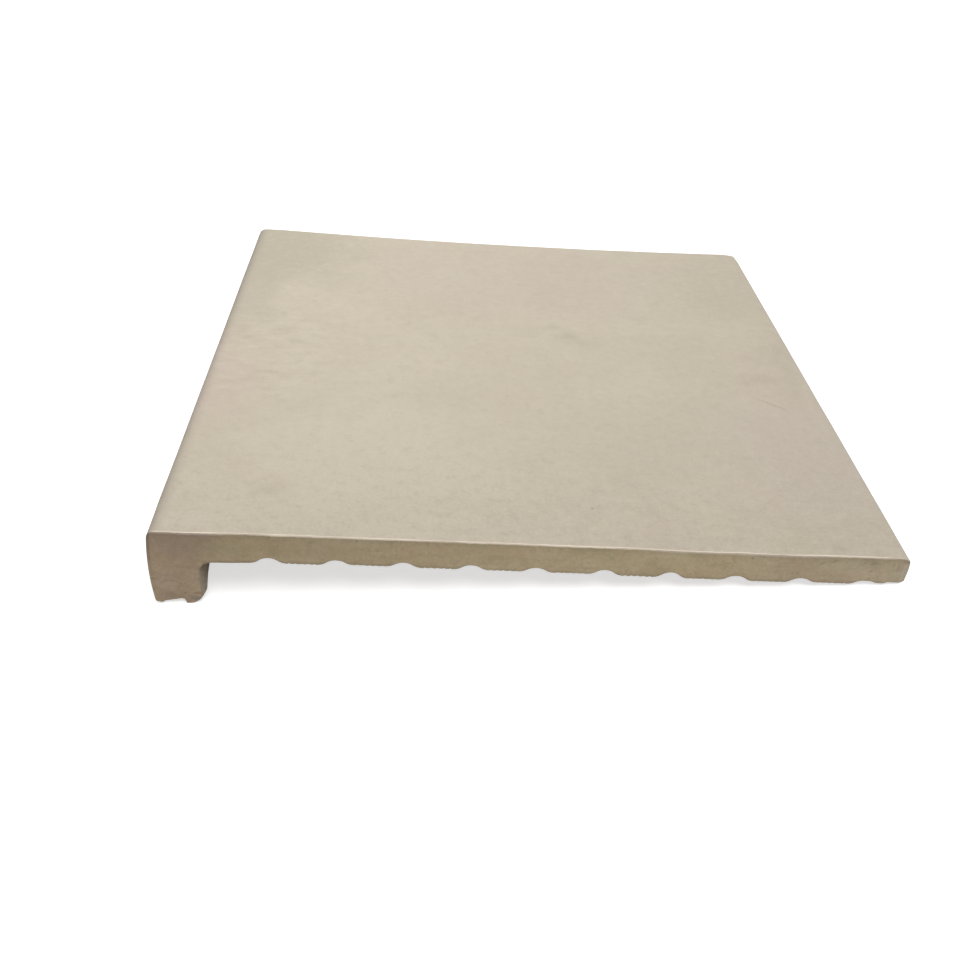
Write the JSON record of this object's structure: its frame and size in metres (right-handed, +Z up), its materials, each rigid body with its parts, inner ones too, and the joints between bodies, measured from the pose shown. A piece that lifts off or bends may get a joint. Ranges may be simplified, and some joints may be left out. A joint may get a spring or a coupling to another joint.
{
  "type": "stair tread tile",
  "caption": "Unglazed stoneware stair tread tile: flat walking surface, rounded drop nose that hooks over the step's edge, and a grooved, combed bedding face.",
  "frame": {"origin": "middle of the tile's box, on the floor it lies on", "axes": "+X from the nose towards the rear edge, +Y along the step, +Z up; the tile leans as it lies unheld, nose side up"},
  "size_m": [0.3308, 0.33, 0.0409],
  "materials": {
    "stoneware": "unglazed, matte, pale beige on the walking surface, browner and coarser on the cut faces"
  },
  "bodies": {
    "root": {"tread_tile": "stoneware"}
  },
  "joints": []
}
